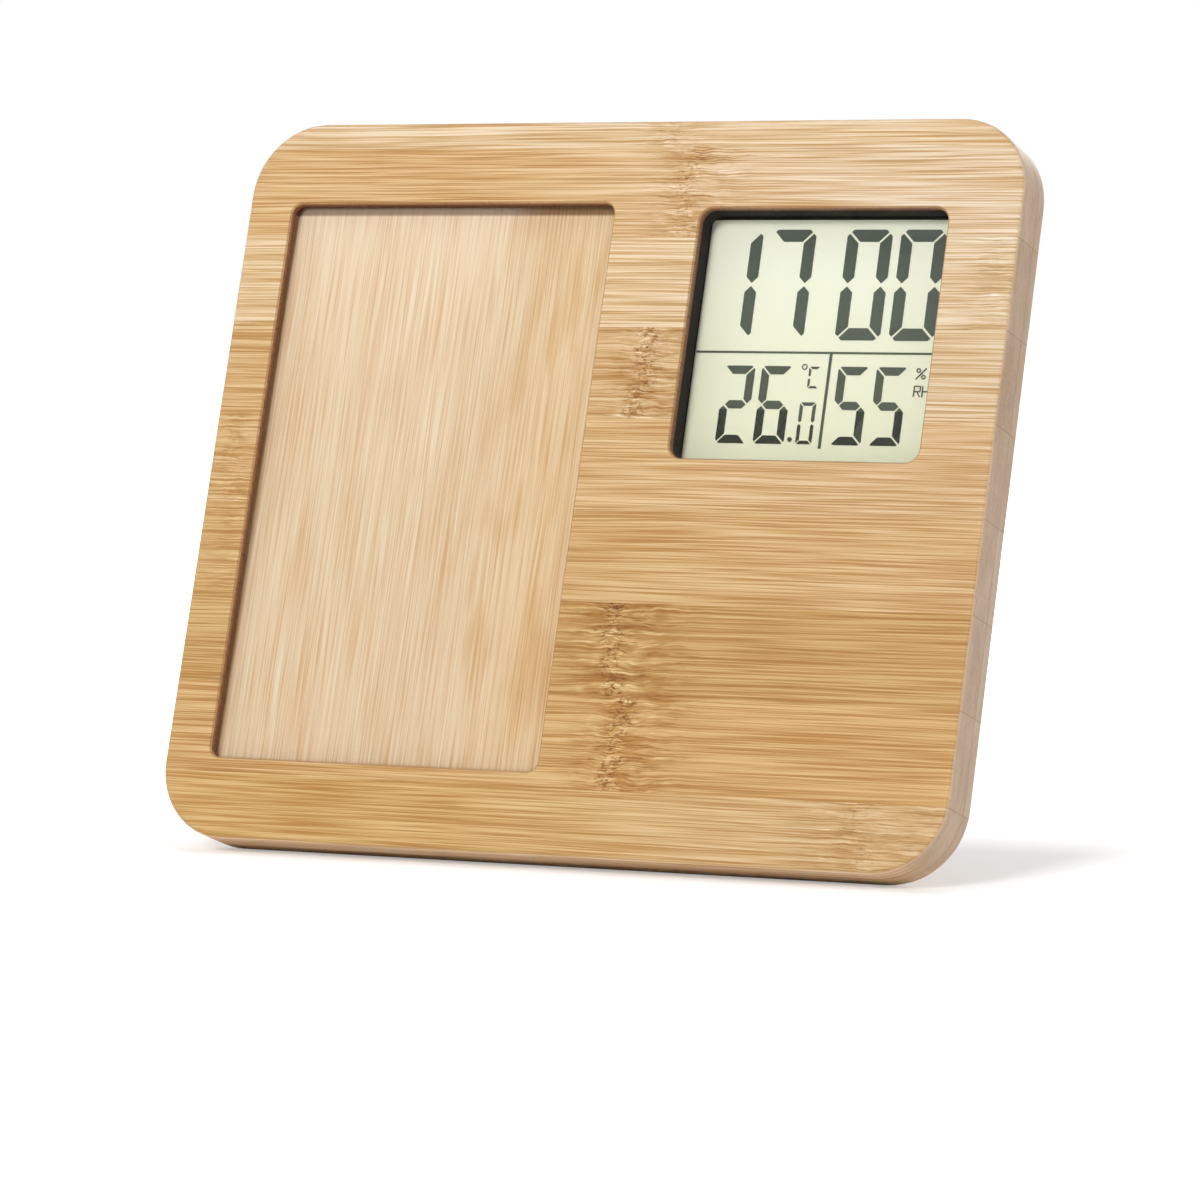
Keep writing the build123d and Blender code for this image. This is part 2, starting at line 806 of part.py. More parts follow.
def make_rear_cover():
    """The flat rear cover with its raised battery and button housing, vents and sounder holes."""
    body = slab(module_outline(), cover_front, board_depth)
    pod = slab(panel(pod_left, pod_right, module_bottom, pod_top, pod_corner), cover_front, pod_back)
    body += fillet(pod.edges().group_by(Axis.Y)[-1], pod_edge_round)
    inside = panel(pod_left + pod_wall, pod_right - pod_wall, module_bottom + pod_wall, pod_top - pod_wall,
                   pod_corner - pod_wall)
    body -= slab(inside, cover_front - over, pod_face_front)
    body += block(pod_left + pod_wall, pod_right - pod_wall, cover_front, pod_face_front, door_top,
                  bay_wall_top)
    for x in (display_left, display_right):
        for z in (display_bottom, display_top):
            body += slab(disc(x, z, post_radius), circuit_back, cover_front)
    rail_back = pod_back - door_plate - door_fit
    body -= slab(door_opening(), rail_back, pod_back + over)
    inner = panel(door_left + door_web, pod_right + over, door_bottom + door_web, door_top - door_web)
    body -= slab(inner, door_web_front - door_fit, pod_back + over)
    end = panel(pod_right - pod_wall - over, pod_right + over, door_bottom, door_top)
    body -= slab(end, door_web_front - door_fit, pod_face_front + over)
    for x in button_places:
        hole = disc(x, button_height, button_radius + button_fit)
        body -= slab(hole, pod_face_front - over, pod_back + over)
    for x, z in boss_places:
        body -= slab(disc(x, z, boss_screw_radius + screw_fit), cover_front - over, board_depth + over)
    middle = (display_bottom + display_top) / 2
    holes = [(module_middle, middle)]
    for i in range(sounder_hole_count):
        angle = 2 * math.pi * i / sounder_hole_count
        holes.append((module_middle + sounder_hole_ring * math.cos(angle),
                      middle + sounder_hole_ring * math.sin(angle)))
    for x, z in holes:
        body -= slab(disc(x, z, sounder_hole_radius), cover_front - over, board_depth + over)
    for i in range(vent_count):
        top = module_top - vent_from_top - vent_pitch * i
        vent = panel(module_middle - vent_width / 2, module_middle + vent_width / 2, top - vent_height, top)
        body -= slab(vent, cover_front - over, board_depth + over)
    return body


def make_battery_door():
    """A sliding door: plate, two webs and their tabs under the rails, and a ribbed grip."""
    fit = door_fit
    body = slab(panel(door_left + fit, pod_right, door_bottom + fit, door_top - fit), pod_back - door_plate,
                pod_back)
    low = door_bottom + door_web + fit
    high = door_top - door_web - fit
    left = door_left + door_web + fit
    right = pod_right - pod_wall - fit
    for bottom, out in ((low, -1), (high - door_web, 1)):
        body += block(left, right, door_web_front, pod_back - door_plate, bottom, bottom + door_web)
        edge = low if out < 0 else high
        reach = edge + out * door_tab_reach
        for start in (left + door_tab_inset, right - door_tab_inset - door_tab_length):
            body += block(start, start + door_tab_length, door_web_front, door_web_front + door_tab,
                          min(edge, reach), max(edge, reach))
    body += block(right + fit, pod_right, door_web_front, pod_back - door_plate, low, high)
    for i in range(door_rib_count):
        x = pod_right - door_rib_inset - door_rib_pitch * i
        body += block(x - door_rib_width, x, pod_back, pod_back + door_rib_height,
                      battery_height - door_rib_length / 2, battery_height + door_rib_length / 2)
    return body


def make_cover_screws():
    tip = cover_front - boss_screw_depth
    return [pan_screw(x, z, tip, board_depth, boss_screw_radius, boss_head_radius, boss_head_height)
            for x, z in boss_places]


def make_ear_screws():
    seat = front_layer + ear_thickness
    return [
        pan_screw(x, z + way * ear_length / 2, front_layer - wood_screw_depth, seat, wood_screw_radius,
                  wood_screw_head_radius, wood_screw_head_height)
        for x, z, way in ear_places
    ]


def knuckle(left, right, bore):
    barrel = rod(left, right, hinge_depth, hinge_height, knuckle_radius)
    return barrel - rod(left - over, right + over, hinge_depth, hinge_height, bore)


def make_fixed_hinge_leaf():
    """Upper leaf, screwed to the board, with the middle knuckle."""
    half = leaf_width / 2
    third = leaf_width / 6
    clear = knuckle_radius + knuckle_clearance
    left = leg_middle - third + knuckle_side_gap
    right = leg_middle + third - knuckle_side_gap
    outline = panel(leg_middle - half, leg_middle + half, hinge_height + clear, hinge_height + leaf_length,
                    leaf_corner)
    outline += panel(left, right, hinge_height, hinge_height + clear + leaf_corner)
    body = slab(outline, board_depth, leaf_back)
    body += knuckle(left, right, pin_radius + pin_running_fit)
    for step in (leaf_screw_first, leaf_screw_second):
        body -= cone(leg_middle, hinge_height + step, board_depth, leaf_back, leaf_screw_radius + screw_fit,
                     leaf_screw_head_radius + screw_fit)
    return body


def make_moving_hinge_leaf():
    """Lower leaf, screwed to the leg, with the two outer knuckles. Drawn folded."""
    half = leaf_width / 2
    third = leaf_width / 6
    clear = knuckle_radius + knuckle_clearance
    outline = panel(leg_middle - half, leg_middle + half, hinge_height - leaf_length, hinge_height - clear,
                    leaf_corner)
    for left, right in ((-half, -third), (third, half)):
        outline += panel(leg_middle + left, leg_middle + right, hinge_height - clear - leaf_corner,
                         hinge_height)
    body = slab(outline, board_depth, leaf_back)
    for left, right in ((-half, -third), (third, half)):
        body += knuckle(leg_middle + left, leg_middle + right, pin_radius + pin_fit)
    for step in (leaf_screw_first, leaf_screw_second):
        body -= cone(leg_middle, hinge_height - step, board_depth, leaf_back,
                     leaf_screw_head_radius + screw_fit, leaf_screw_radius + screw_fit)
    return body


def make_hinge_pin():
    half = leaf_width / 2
    body = rod(leg_middle - half, leg_middle + half, hinge_depth, hinge_height, pin_radius)
    for side in (-1, 1):
        start = leg_middle + side * half
        end = start + side * pin_head_height
        body += rod(min(start, end), max(start, end), hinge_depth, hinge_height, pin_head_radius)
    return body


def make_fixed_leaf_screws():
    return [flat_screw(leg_middle, hinge_height + step, front_layer - leaf_screw_depth / 2, board_depth,
                       leaf_back) for step in (leaf_screw_first, leaf_screw_second)]


def make_moving_leaf_screws():
    """Screws from the inside, through the moving leaf into the leg. Drawn folded."""
    screws = []
    for step in (leaf_screw_first, leaf_screw_second):
        z = hinge_height - step
        head = cone(leg_middle, z, board_depth, leaf_back, leaf_screw_head_radius, leaf_screw_radius)
        body = head + slab(disc(leg_middle, z, leaf_screw_radius), leaf_back, leaf_back + leaf_screw_depth)
        arm = leaf_screw_head_radius * cross_share
        half = cross_width / 2
        deep = board_depth + cross_depth / 2
        body -= block(leg_middle - arm, leg_middle + arm, board_depth - over, deep, z - half, z + half)
        body -= block(leg_middle - half, leg_middle + half, board_depth - over, deep, z - arm, z + arm)
        screws.append(body)
    return screws


def leg_outline(inset=0):
    """The leg's tapered face, from its heel to below the floor. Drawn folded."""
    top = hinge_height + leg_heel
    bottom = -leg_spare_length
    half_top = leg_top_width / 2 - inset
    half_foot = leg_foot_width / 2 - inset
    points = [(leg_middle - half_top, top), (leg_middle + half_top, top), (leg_middle + half_foot, bottom),
              (leg_middle - half_foot, bottom)]
    return Polygon(*points, align=None)


def make_leg_blank():
    """The leg folded flat: groove around the hinge, bevelled heel, screw holes."""
    back = leaf_back + leg_thickness
    body = slab(leg_outline(), leaf_back, back)
    body = fillet(body.edges().group_by(Axis.Y)[-1], leg_edge_round)
    body -= rod(leg_middle - leg_top_width, leg_middle + leg_top_width, hinge_depth, hinge_height,
                groove_radius)
    pivot = Pos(leg_middle, hinge_depth, hinge_height)
    wide = 2 * leg_foot_width
    deep = 2 * leg_thickness
    tall = 2 * leg_heel
    front = leaf_face + heel_clearance
    bevel = Pos(0, front - deep / 2, tall / 2) * Box(wide, deep, tall)
    body -= pivot * Rot(-leg_open_degrees, 0, 0) * bevel
    for step in (leaf_screw_first, leaf_screw_second):
        hole = disc(leg_middle, hinge_height - step, leaf_screw_radius + screw_fit)
        body -= slab(hole, leaf_back - over, leaf_back + leaf_screw_depth + screw_fit)
    return body


def make_pad_blank():
    return slab(leg_outline(pad_inset), leaf_back + pad_inset / 2, leaf_back + leg_thickness - pad_inset / 2)


def opened(shape):
    """Swing a piece of the folded leg out to its stop."""
    pivot = Pos(leg_middle, hinge_depth, hinge_height)
    return pivot * Rot(leg_open_degrees, 0, 0) * pivot.inverse() * shape


def board_lift():
    """Height of the board's own origin once its rounded rear edge rests on the floor."""
    lean = math.radians(lean_degrees)
    inset = board_depth - board_edge_round
    return board_edge_round - board_edge_round * math.cos(lean) + inset * math.sin(lean)


def stand(shape):
    """Lean an upright piece back and set it on the floor."""
    return Pos(0, 0, board_lift()) * Rot(-lean_degrees, 0, 0) * shape


def above(shape, low, high):
    """The part of a standing shape between two heights."""
    wide = 2 * board_width
    return shape & block(-wide, wide, -wide, wide, low, high)


def upright_pieces():
    """Every piece that is drawn with the board upright."""
    pieces = {
        "front_panel": make_front_panel(),
        "rear_panel": make_rear_panel(),
        "photo_pane": make_photo_pane(),
        "backing_board": make_backing_board(),
        "turn_button_screws": make_turn_button_screws(),
        "display_shell": make_display_shell(),
        "lcd_front_glass": make_lcd_front_glass(),
        "lcd_segments": make_lcd_segments(),
        "lcd_rear_glass": make_lcd_rear_glass(),
        "elastomer_strips": make_elastomer_strips(),
        "circuit_board": make_circuit_board(),
        "controller_chip": make_controller_chip(),
        "quartz_crystal": make_quartz_crystal(),
        "humidity_sensor": make_humidity_sensor(),
        "sounder": make_sounder(),
        "tact_switches": make_tact_switches(),
        "battery": make_battery(),
        "positive_contact": make_positive_contact(),
        "negative_contact": make_negative_contact(),
        "rear_cover": make_rear_cover(),
        "battery_door": make_battery_door(),
        "cover_screws": make_cover_screws(),
        "ear_screws": make_ear_screws(),
        "fixed_hinge_leaf": make_fixed_hinge_leaf(),
        "fixed_leaf_screws": make_fixed_leaf_screws(),
    }
    for name, (x, z, way) in turn_places.items():
        pieces[name] = make_turn_button(x, z, way)
    for i, x in enumerate(button_places):
        pieces[f"button_{i + 1}"] = make_button(x)
        pieces[f"switch_plunger_{i + 1}"] = make_plunger(x)
    return pieces


def folded_pieces():
    """Every piece that swings with the leg, drawn folded."""
    return {
        "moving_hinge_leaf": make_moving_hinge_leaf(),
        "moving_leaf_screws": make_moving_leaf_screws(),
        "hinge_pin": make_hinge_pin(),
    }


def as_list(shape):
    return shape if isinstance(shape, list) else [shape]


def standing_pieces():
    """All pieces in place on the floor, before the origin is centred."""
    pieces = {name: [stand(s) for s in as_list(shape)] for name, shape in upright_pieces().items()}
    for name, shape in folded_pieces().items():
        pieces[name] = [stand(opened(s)) for s in as_list(shape)]
    leg = stand(opened(make_leg_blank()))
    pad = stand(opened(make_pad_blank()))
    pieces["stand_leg"] = [above(leg, pad_thickness, board_height)]
    pieces["leg_pad"] = [above(pad, 0, pad_thickness)]
    return pieces


def solids_of(shapes):
    return [solid for shape in shapes for solid in shape.solids()]


def main():
    os.makedirs("parts", exist_ok=True)
    pieces = {name: solids_of(shapes) for name, shapes in standing_pieces().items()}
    box = Compound([solid for solids in pieces.values() for solid in solids]).bounding_box()
    centre = Pos(-(box.min.X + box.max.X) / 2, -(box.min.Y + box.max.Y) / 2, 0)
    for name, solids in pieces.items():
        placed = [centre * solid for solid in solids]
        export_step(placed[0] if len(placed) == 1 else Compound(placed), f"parts/{name}.step")
    print("box", box.min, box.max)
    places = {"leg_hinge": (leg_middle, hinge_depth, hinge_height)}
    places.update({name: (x, front_layer, z) for name, (x, z, way) in turn_places.items()})
    for name, place in places.items():
        point = (centre * stand(Pos(*place))).position
        print("place", name, round(point.X, 4), round(point.Y, 4), round(point.Z, 4))
    sole = (centre * pieces["leg_pad"][0]).faces().sort_by(Axis.Z)[0].center()
    print("place leg_pad", round(sole.X, 4), round(sole.Y, 4), round(sole.Z, 4))


main()
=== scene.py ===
import math

import bpy
from mathutils import Matrix, Vector


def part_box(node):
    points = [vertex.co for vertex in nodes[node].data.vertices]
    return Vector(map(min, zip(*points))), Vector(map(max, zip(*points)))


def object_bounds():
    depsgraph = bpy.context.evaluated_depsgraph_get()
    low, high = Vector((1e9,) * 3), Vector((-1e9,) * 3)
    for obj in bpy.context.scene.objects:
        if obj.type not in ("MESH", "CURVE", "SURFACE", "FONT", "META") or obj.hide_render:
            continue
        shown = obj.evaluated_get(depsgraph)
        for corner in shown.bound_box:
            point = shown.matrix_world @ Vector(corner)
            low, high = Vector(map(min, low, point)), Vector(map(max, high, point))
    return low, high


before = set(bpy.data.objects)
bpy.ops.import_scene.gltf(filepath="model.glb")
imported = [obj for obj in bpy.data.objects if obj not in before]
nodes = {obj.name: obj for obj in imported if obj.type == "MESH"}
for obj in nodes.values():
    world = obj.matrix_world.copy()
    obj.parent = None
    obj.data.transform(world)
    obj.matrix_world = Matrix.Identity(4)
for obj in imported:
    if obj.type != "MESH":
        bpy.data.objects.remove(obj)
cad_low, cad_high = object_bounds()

scene = bpy.context.scene

# The board in millimetres: it leans back on its rounded rear bottom edge
LEAN = math.radians(17.65)
LEG_OPEN = math.radians(35.0)
BOARD_WIDTH = 180.0
BOARD_HEIGHT = 158.0
FRONT_LAYER = 8.0
REAR_LAYER = 4.0
BOARD_DEPTH = FRONT_LAYER + REAR_LAYER
EDGE_ROUND = 1.0
LIP = 2.0
# left, right, foot and top of the backing board, and of the bright field inside the display's black border
BACKING = (7.7, 91.1, 14.4, 142.9)
DISPLAY_FIELD = (107.85, 164.35, 84.45, 138.35)
COS = math.cos(LEAN)
SIN = math.sin(LEAN)
LIFT = EDGE_ROUND - EDGE_ROUND * COS + (BOARD_DEPTH - EDGE_ROUND) * SIN
FORWARD = EDGE_ROUND * (COS + SIN - 1)
ORIGIN = Vector((-BOARD_WIDTH / 2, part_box("front_panel")[0][1] * 1000 - FORWARD, LIFT))
FACE_NORMAL = Vector((0, -COS, SIN))


def on_board(u, depth, v):
    """A place on the board, in metres: u from its left edge, depth behind its face, v up its face."""
    y = ORIGIN.y + depth * COS + v * SIN
    z = ORIGIN.z - depth * SIN + v * COS
    return Vector((ORIGIN.x + u, y, z)) / 1000


# The camera stands where the photo was taken from, in metres
CAMERA_PLACE = Vector((0.499602, -1.025805, 0.129965))
CAMERA_RIGHT = Vector((0.897968, 0.440061, 0.000038))
CAMERA_UP = Vector((-0.029474, 0.060058, 0.99776))
CAMERA_BACK = Vector((0.439073, -0.895957, 0.0669))
LENS = 163.345

# What varnished wood mirrors of a white room, in linear values
GLOSS = 0.045


# Short ways to write a material's nodes
def srgb(red, green, blue):
    """A colour as seen on a screen, each part from 0 to 255, in linear values."""
    def linear(part):
        part = min(part, 255) / 255
        return part / 12.92 if part <= 0.04045 else ((part + 0.055) / 1.055) ** 2.4
    return (linear(red), linear(green), linear(blue), 1.0)


def under_gloss(tone):
    """A tone of varnished wood as seen, less what its varnish mirrors of a white room."""
    return (*[max(part - GLOSS, 0.0) for part in srgb(*tone)[:3]], 1.0)


class Graph:
    """The nodes of one material, or of the world."""

    def __init__(self, name, world=None):
        self.mat = world or bpy.data.materials.new(name)
        self.mat.use_nodes = True
        self.tree = self.mat.node_tree
        self.tree.nodes.clear()
        self.out = self.add("ShaderNodeOutputWorld" if world else "ShaderNodeOutputMaterial")

    def add(self, kind, **values):
        """A new node with the given settings."""
        node = self.tree.nodes.new(kind)
        for key, value in values.items():
            setattr(node, key, value)
        return node

    def put(self, value, socket):
        """Link a socket, or set a plain value."""
        if isinstance(value, bpy.types.NodeSocket):
            self.tree.links.new(value, socket)
        else:
            socket.default_value = value

    def calc(self, operation, a, b=0.0, clamp=False):
        node = self.add("ShaderNodeMath", operation=operation, use_clamp=clamp)
        self.put(a, node.inputs[0])
        self.put(b, node.inputs[1])
        return node.outputs[0]

    def plus(self, *values):
        total = values[0]
        for value in values[1:]:
            total = self.calc("ADD", total, value)
        return total

    def times(self, *values):
        total = values[0]
        for value in values[1:]:
            total = self.calc("MULTIPLY", total, value)
        return total

    def mix(self, share, a, b, blend="MIX"):
        """Colour a turning into b as share goes from 0 to 1."""
        node = self.add("ShaderNodeMix", data_type="RGBA", blend_type=blend)
        self.put(share, node.inputs[0])
        self.put(a, node.inputs[6])
        self.put(b, node.inputs[7])
        return node.outputs[2]

    def tint(self, share, colour, factors):
        """Colour multiplied part by part, as far as share says."""
        return self.mix(share, colour, (*factors, 1.0), "MULTIPLY")

    def rise(self, value, low, high):
        """0 at low, 1 at high, smooth between; low may lie above high."""
        if low > high:
            return self.calc("SUBTRACT", 1.0, self.rise(value, high, low))
        node = self.add("ShaderNodeMapRange", interpolation_type="SMOOTHSTEP")
        self.put(value, node.inputs[0])
        node.inputs[1].default_value = low
        node.inputs[2].default_value = high
        return node.outputs[0]

    def spread(self, value, low, high, to_low, to_high):
        """value moved from one range to another, held at the ends."""
        node = self.add("ShaderNodeMapRange")
        self.put(value, node.inputs[0])
        for socket, limit in zip(node.inputs[1:5], (low, high, to_low, to_high)):
            socket.default_value = limit
        return node.outputs[0]

    def steps(self, number, values):
        """The value, or colour, that belongs to a whole number."""
        node = self.add("ShaderNodeValToRGB")
        node.color_ramp.interpolation = "CONSTANT"
        items = node.color_ramp.elements
        while len(items) > 1:
            items.remove(items[-1])
        for i, value in enumerate(values):
            item = items[0] if i == 0 else items.new(i / len(values))
            item.position = i / len(values)
            item.color = value if isinstance(value, tuple) else (value, value, value, 1)
        self.put(self.calc("DIVIDE", self.plus(number, 0.5), len(values)), node.inputs[0])
        return node.outputs[0]

    def within(self, x, y, sides):
        """How far a place lies inside left, right, foot and top, from the nearest of them."""
        left, right, foot, top = sides
        beside = self.calc("MINIMUM", self.plus(x, -left), self.calc("SUBTRACT", right, x))
        above = self.calc("MINIMUM", self.plus(y, -foot), self.calc("SUBTRACT", top, y))
        return self.calc("MINIMUM", beside, above)

    def xyz(self, x, y, z=0.0):
        node = self.add("ShaderNodeCombineXYZ")
        for value, socket in zip((x, y, z), node.inputs):
            self.put(value, socket)
        return node.outputs[0]

    def split(self, vector):
        node = self.add("ShaderNodeSeparateXYZ")
        self.put(vector, node.inputs[0])
        return node.outputs

    def dot(self, vector, direction):
        """How far a vector reaches in a fixed direction."""
        node = self.add("ShaderNodeVectorMath", operation="DOT_PRODUCT")
        self.put(vector, node.inputs[0])
        node.inputs[1].default_value = direction
        return node.outputs["Value"]

    def noise(self, vector, scale=1.0, detail=2.0, rough=0.5):
        node = self.add("ShaderNodeTexNoise")
        self.put(vector, node.inputs["Vector"])
        node.inputs["Scale"].default_value = scale
        node.inputs["Detail"].default_value = detail
        node.inputs["Roughness"].default_value = rough
        return node.outputs["Fac"]

    def grain(self, x, y, seed, width, height, detail=2.0):
        """Noise whose spots are width by height millimetres, from -1 to 1."""
        place = self.xyz(self.times(x, 1 / width), self.times(y, 1 / height), seed)
        return self.spread(self.noise(place, 1.0, detail, 0.55), 0.3, 0.7, -1.0, 1.0)

    def bump(self, height, depth, strength=1.0):
        """The normal of a surface whose height goes from 0 to depth, in millimetres."""
        node = self.add("ShaderNodeBump")
        self.put(height, node.inputs["Height"])
        node.inputs["Distance"].default_value = depth / 1000
        node.inputs["Strength"].default_value = strength
        return node.outputs[0]

    def here(self):
        """This place, in metres."""
        return self.add("ShaderNodeTexCoord").outputs["Object"]

    def on_board(self):
        """u, depth and v of this place on the board, in millimetres."""
        mapping = self.add("ShaderNodeMapping")
        self.put(self.here(), mapping.inputs["Vector"])
        mapping.inputs["Scale"].default_value = (1000, 1000, 1000)
        mapping.inputs["Rotation"].default_value = (LEAN, 0, 0)
        mapping.inputs["Location"].default_value = -(Matrix.Rotation(LEAN, 3, "X") @ ORIGIN)
        return self.split(mapping.outputs[0])

    def principled(self, colour, rough=0.5, normal=None, **values):
        shader = self.add("ShaderNodeBsdfPrincipled")
        self.put(colour, shader.inputs["Base Color"])
        self.put(rough, shader.inputs["Roughness"])
        if normal is not None:
            self.put(normal, shader.inputs["Normal"])
        for key, value in values.items():
            shader.inputs[key.replace("_", " ")].default_value = value
        return shader.outputs[0]

    def blend(self, share, first, second):
        """The first shader turning into the second as share goes from 0 to 1."""
        node = self.add("ShaderNodeMixShader")
        for value, socket in zip((share, first, second), node.inputs):
            self.put(value, socket)
        return node.outputs[0]

    def light(self, strength):
        """White light from all round."""
        node = self.add("ShaderNodeBackground")
        node.inputs[0].default_value = (1, 1, 1, 1)
        self.put(strength, node.inputs[1])
        return node.outputs[0]

    def finish(self, shader):
        self.put(shader, self.out.inputs["Surface"])
        return self.mat


def dress(name, material):
    """Give a piece its only material."""
    mesh = nodes[name].data
    mesh.materials.clear()
    mesh.materials.append(material)


# Bamboo: level strips glued side by side. Each row is one strip, from the bottom one up: its tone at the left
# and at the right, and the place, width and strength of its growth ring, in millimetres from the left.
STRIP_HEIGHT = 19.7
LOWEST_JOINT = 14.25
# the right tones are paler and greyer than the left ones: the strips' own tone, with painted sheen
STRIPS = [
    ((211, 171, 114), (216, 180, 131), 162.0, 26.0, 0.55),
    ((212, 171, 118), (211, 169, 113), 105.5, 17.0, 0.95),
    ((206, 167, 112), (202, 161, 106), 101.5, 20.0, 1.0),
    ((212, 173, 120), (214, 175, 125), 7.0, 9.0, 0.35),
    ((217, 179, 127), (217, 180, 134), 5.0, 11.0, 0.5),
    ((213, 174, 123), (221, 190, 149), 99.5, 15.0, 0.9),
    ((225, 192, 147), (230, 203, 166), 176.0, 12.0, 0.4),
    ((218, 179, 129), (228, 199, 163), 104.5, 15.0, 0.7),
    ((227, 196, 155), (227, 196, 155), 98.5, 13.0, 0.55),
]
TONES_LEFT, TONES_RIGHT, RING_PLACES, RING_WIDTHS, RING_POWERS = zip(*STRIPS)
DARK_FIBRE = (0.755, 0.615, 0.41)
PALE_FIBRE = (1.19, 1.36, 1.72)


def darken_and_lighten(g, colour, streak, dark_tint=DARK_FIBRE, pale_tint=PALE_FIBRE):
    """Dark fibres where streak is below 0, pale ones where it is above."""
    dark = g.calc("MULTIPLY", streak, -1.0, clamp=True)
    pale = g.calc("MULTIPLY", streak, 1.0, clamp=True)
    return g.tint(pale, g.tint(dark, colour, dark_tint), pale_tint)


def fibres(g, along, across, seed):
    """Fine, middle and broad fibres added up, about -1 to 1, and the fine ones alone."""
    fine = g.grain(along, across, seed, 24.0, 0.27, 0.6)
    middle = g.grain(along, across, g.plus(seed, 3.7), 55.0, 0.62, 1.2)
    broad = g.grain(along, across, g.plus(seed, 8.1), 70.0, 2.6)
    # thin long threads where a slow noise passes its middle
    slow = g.grain(along, across, g.plus(seed, 5.3), 90.0, 1.3, 0.5)
    thread = g.rise(g.calc("ABSOLUTE", slow), 0.16, 0.0)
    main = g.plus(g.times(fine, 0.95), g.times(middle, 0.68), g.times(broad, 0.26))
    return g.plus(main, g.times(thread, -0.3), 0.04), fine


def strip_place(g, v):
    """Height counted in strips: its whole part is the strip's number."""
    return g.calc("DIVIDE", g.plus(v, STRIP_HEIGHT - LOWEST_JOINT), STRIP_HEIGHT)


def own_length(g, number, lengths):
    """The length that belongs to a strip's number, in millimetres."""
    return g.times(g.steps(number, [length / BOARD_WIDTH for length in lengths]), BOARD_WIDTH)


def growth_ring(g, u, v, number, seed):
    """How near a place is to its strip's growth ring, from 0 to 1, and how near to its core."""
    centre = own_length(g, number, RING_PLACES)
    width = own_length(g, number, RING_WIDTHS)
    power = g.steps(number, RING_POWERS)
    ragged = g.times(g.grain(0.0, v, seed, 1.0, 0.8, 3.0), 2.6)
    slow = g.times(g.grain(0.0, v, g.plus(seed, 5.0), 1.0, 7.0), 1.6)
    away = g.plus(u, ragged, slow, g.times(centre, -1.0))
    reach = g.times(width, g.spread(away, -1.0, 1.0, 0.8, 1.3))
    near = g.calc("SUBTRACT", 1.0, g.calc("DIVIDE", g.calc("ABSOLUTE", away), reach), clamp=True)
    middle = g.plus(u, slow, g.times(centre, -1.0))
    core = g.rise(g.calc("ABSOLUTE", middle), 3.8, 0.8)
    return g.times(g.rise(near, 0.0, 0.9), power), g.times(core, g.rise(power, 0.3, 1.0))


def face_bamboo(g, u, v):
    """Colour and height of the board's faces."""
    place = strip_place(g, v)
    number = g.calc("FLOOR", place)
    inside = g.times(g.calc("SUBTRACT", place, number), STRIP_HEIGHT)
    seed = g.times(number, 7.31)
    left = g.steps(number, [under_gloss(tone) for tone in TONES_LEFT])
    right = g.steps(number, [under_gloss(tone) for tone in TONES_RIGHT])
    # the turn to the paler right tones is partly painted sheen
    tone = g.mix(g.rise(u, 60.0, 160.0), left, right)
    ring, core = growth_ring(g, u, v, number, seed)
    # fibres run level and bend a little, more so near a ring
    slow = g.times(g.grain(u, v, seed, 80.0, 9.0), 0.28)
    quick = g.times(g.grain(u, v, g.plus(seed, 2.0), 7.0, 2.6), g.plus(0.02, g.times(ring, 0.45)))
    bent = g.plus(v, slow, quick)
    streak, fine = fibres(g, u, bent, seed)
    colour = darken_and_lighten(g, tone, streak)
    # inside a ring: brown stains, dark and pale dashes, and dots along its core
    stain = g.times(g.rise(g.grain(u, bent, seed, 9.0, 1.6), -0.5, 0.6), ring)
    colour = g.tint(stain, colour, (0.72, 0.56, 0.30))
    long_dash = g.grain(u, bent, g.plus(seed, 1.0), 4.6, 0.38)
    short_dash = g.grain(u, bent, g.plus(seed, 6.0), 1.7, 0.4)
    dash = g.plus(g.times(long_dash, 0.75), g.times(short_dash, g.plus(0.2, core)))
    colour = g.tint(g.times(g.rise(dash, 0.1, 0.9), ring), colour, (0.52, 0.38, 0.19))
    colour = g.tint(g.times(g.rise(dash, -0.2, -0.9), ring), colour, (1.3, 1.5, 2.0))
    dot = g.rise(g.grain(u, v, g.plus(seed, 4.0), 0.9, 0.7, 1.0), 0.35, 0.8)
    colour = g.tint(g.times(dot, core), colour, (0.56, 0.43, 0.26))
    # where two strips meet, a thin line: a real dark joint in places, and a painted pale glint in others
    joint = g.plus(g.rise(inside, 0.25, 0.0), g.rise(inside, STRIP_HEIGHT - 0.2, STRIP_HEIGHT))
    luck = g.grain(u, number, 9.0, 22.0, 0.9)
    colour = g.tint(g.times(joint, g.rise(luck, 0.0, 0.6), 0.7), colour, (0.6, 0.48, 0.34))
    # painted glint along the joint
    colour = g.tint(g.times(joint, g.rise(luck, -0.2, -0.8), 0.8), colour, (1.25, 1.4, 1.8))
    return colour, g.plus(g.times(fine, 0.5), g.times(dash, ring, 0.5))


